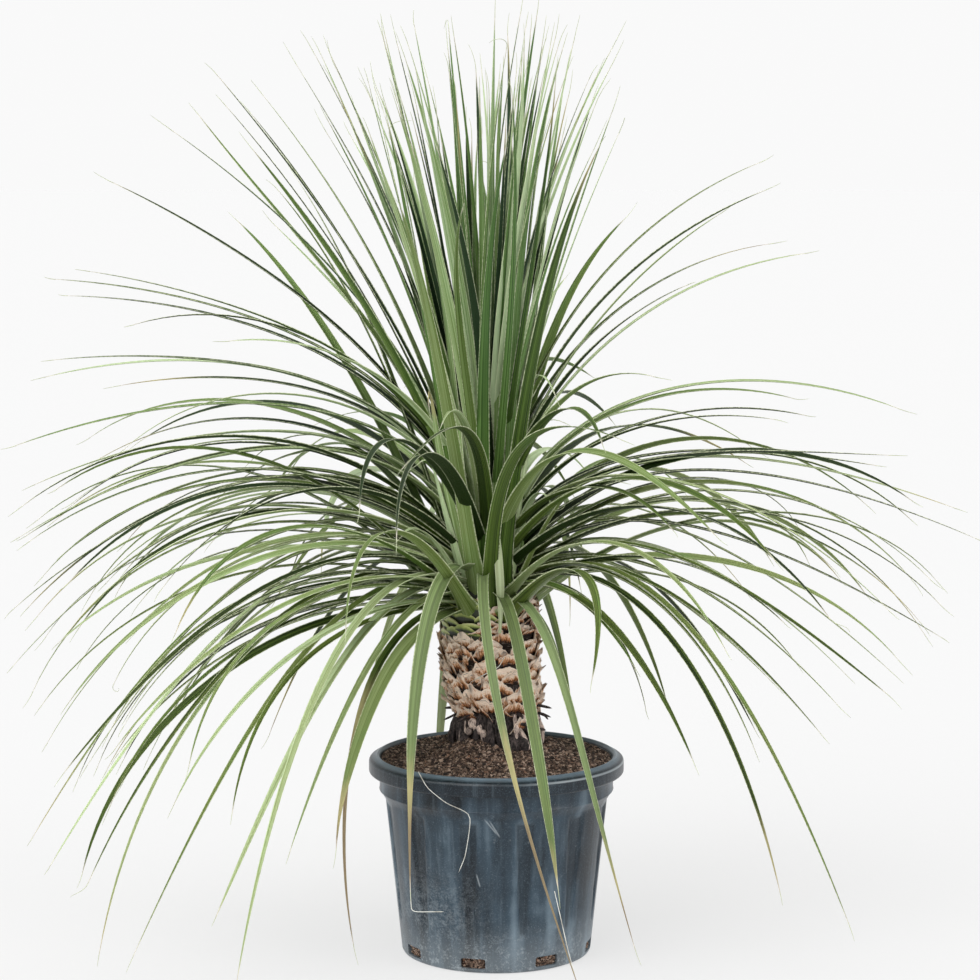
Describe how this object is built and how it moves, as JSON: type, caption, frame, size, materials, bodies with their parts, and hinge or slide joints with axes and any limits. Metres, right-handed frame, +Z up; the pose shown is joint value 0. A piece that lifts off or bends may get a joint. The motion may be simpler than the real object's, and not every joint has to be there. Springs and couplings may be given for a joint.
{
  "type": "potted mexican grass tree",
  "caption": "Young mexican grass tree with a short scaly trunk and a wide crown of long arching leaves, growing in a round plastic nursery pot.",
  "frame": {"origin": "centre of the pot's underside, where it rests on the floor", "axes": "+Z up along the pot's axis; -Y is the front of the plant as pictured; +X is to the right seen from the front"},
  "size_m": [1.2964, 1.1985, 1.2557],
  "materials": {
    "pot_plastic": "slate blue-grey moulded plastic, dusty and scuffed, darker in the flutes",
    "peat": "rough crumbly dark brown potting mix with pale specks of bark",
    "dry_leaf_bases": "dry papery tan to orange-brown leaf bases with dark gaps between",
    "leaf_green": "satin glaucous green with fine veins lengthways, olive below, tan at the dry tips"
  },
  "bodies": {
    "root": {"pot": "pot_plastic", "soil": "peat", "trunk": "dry_leaf_bases", "leaves": "leaf_green"}
  },
  "joints": []
}
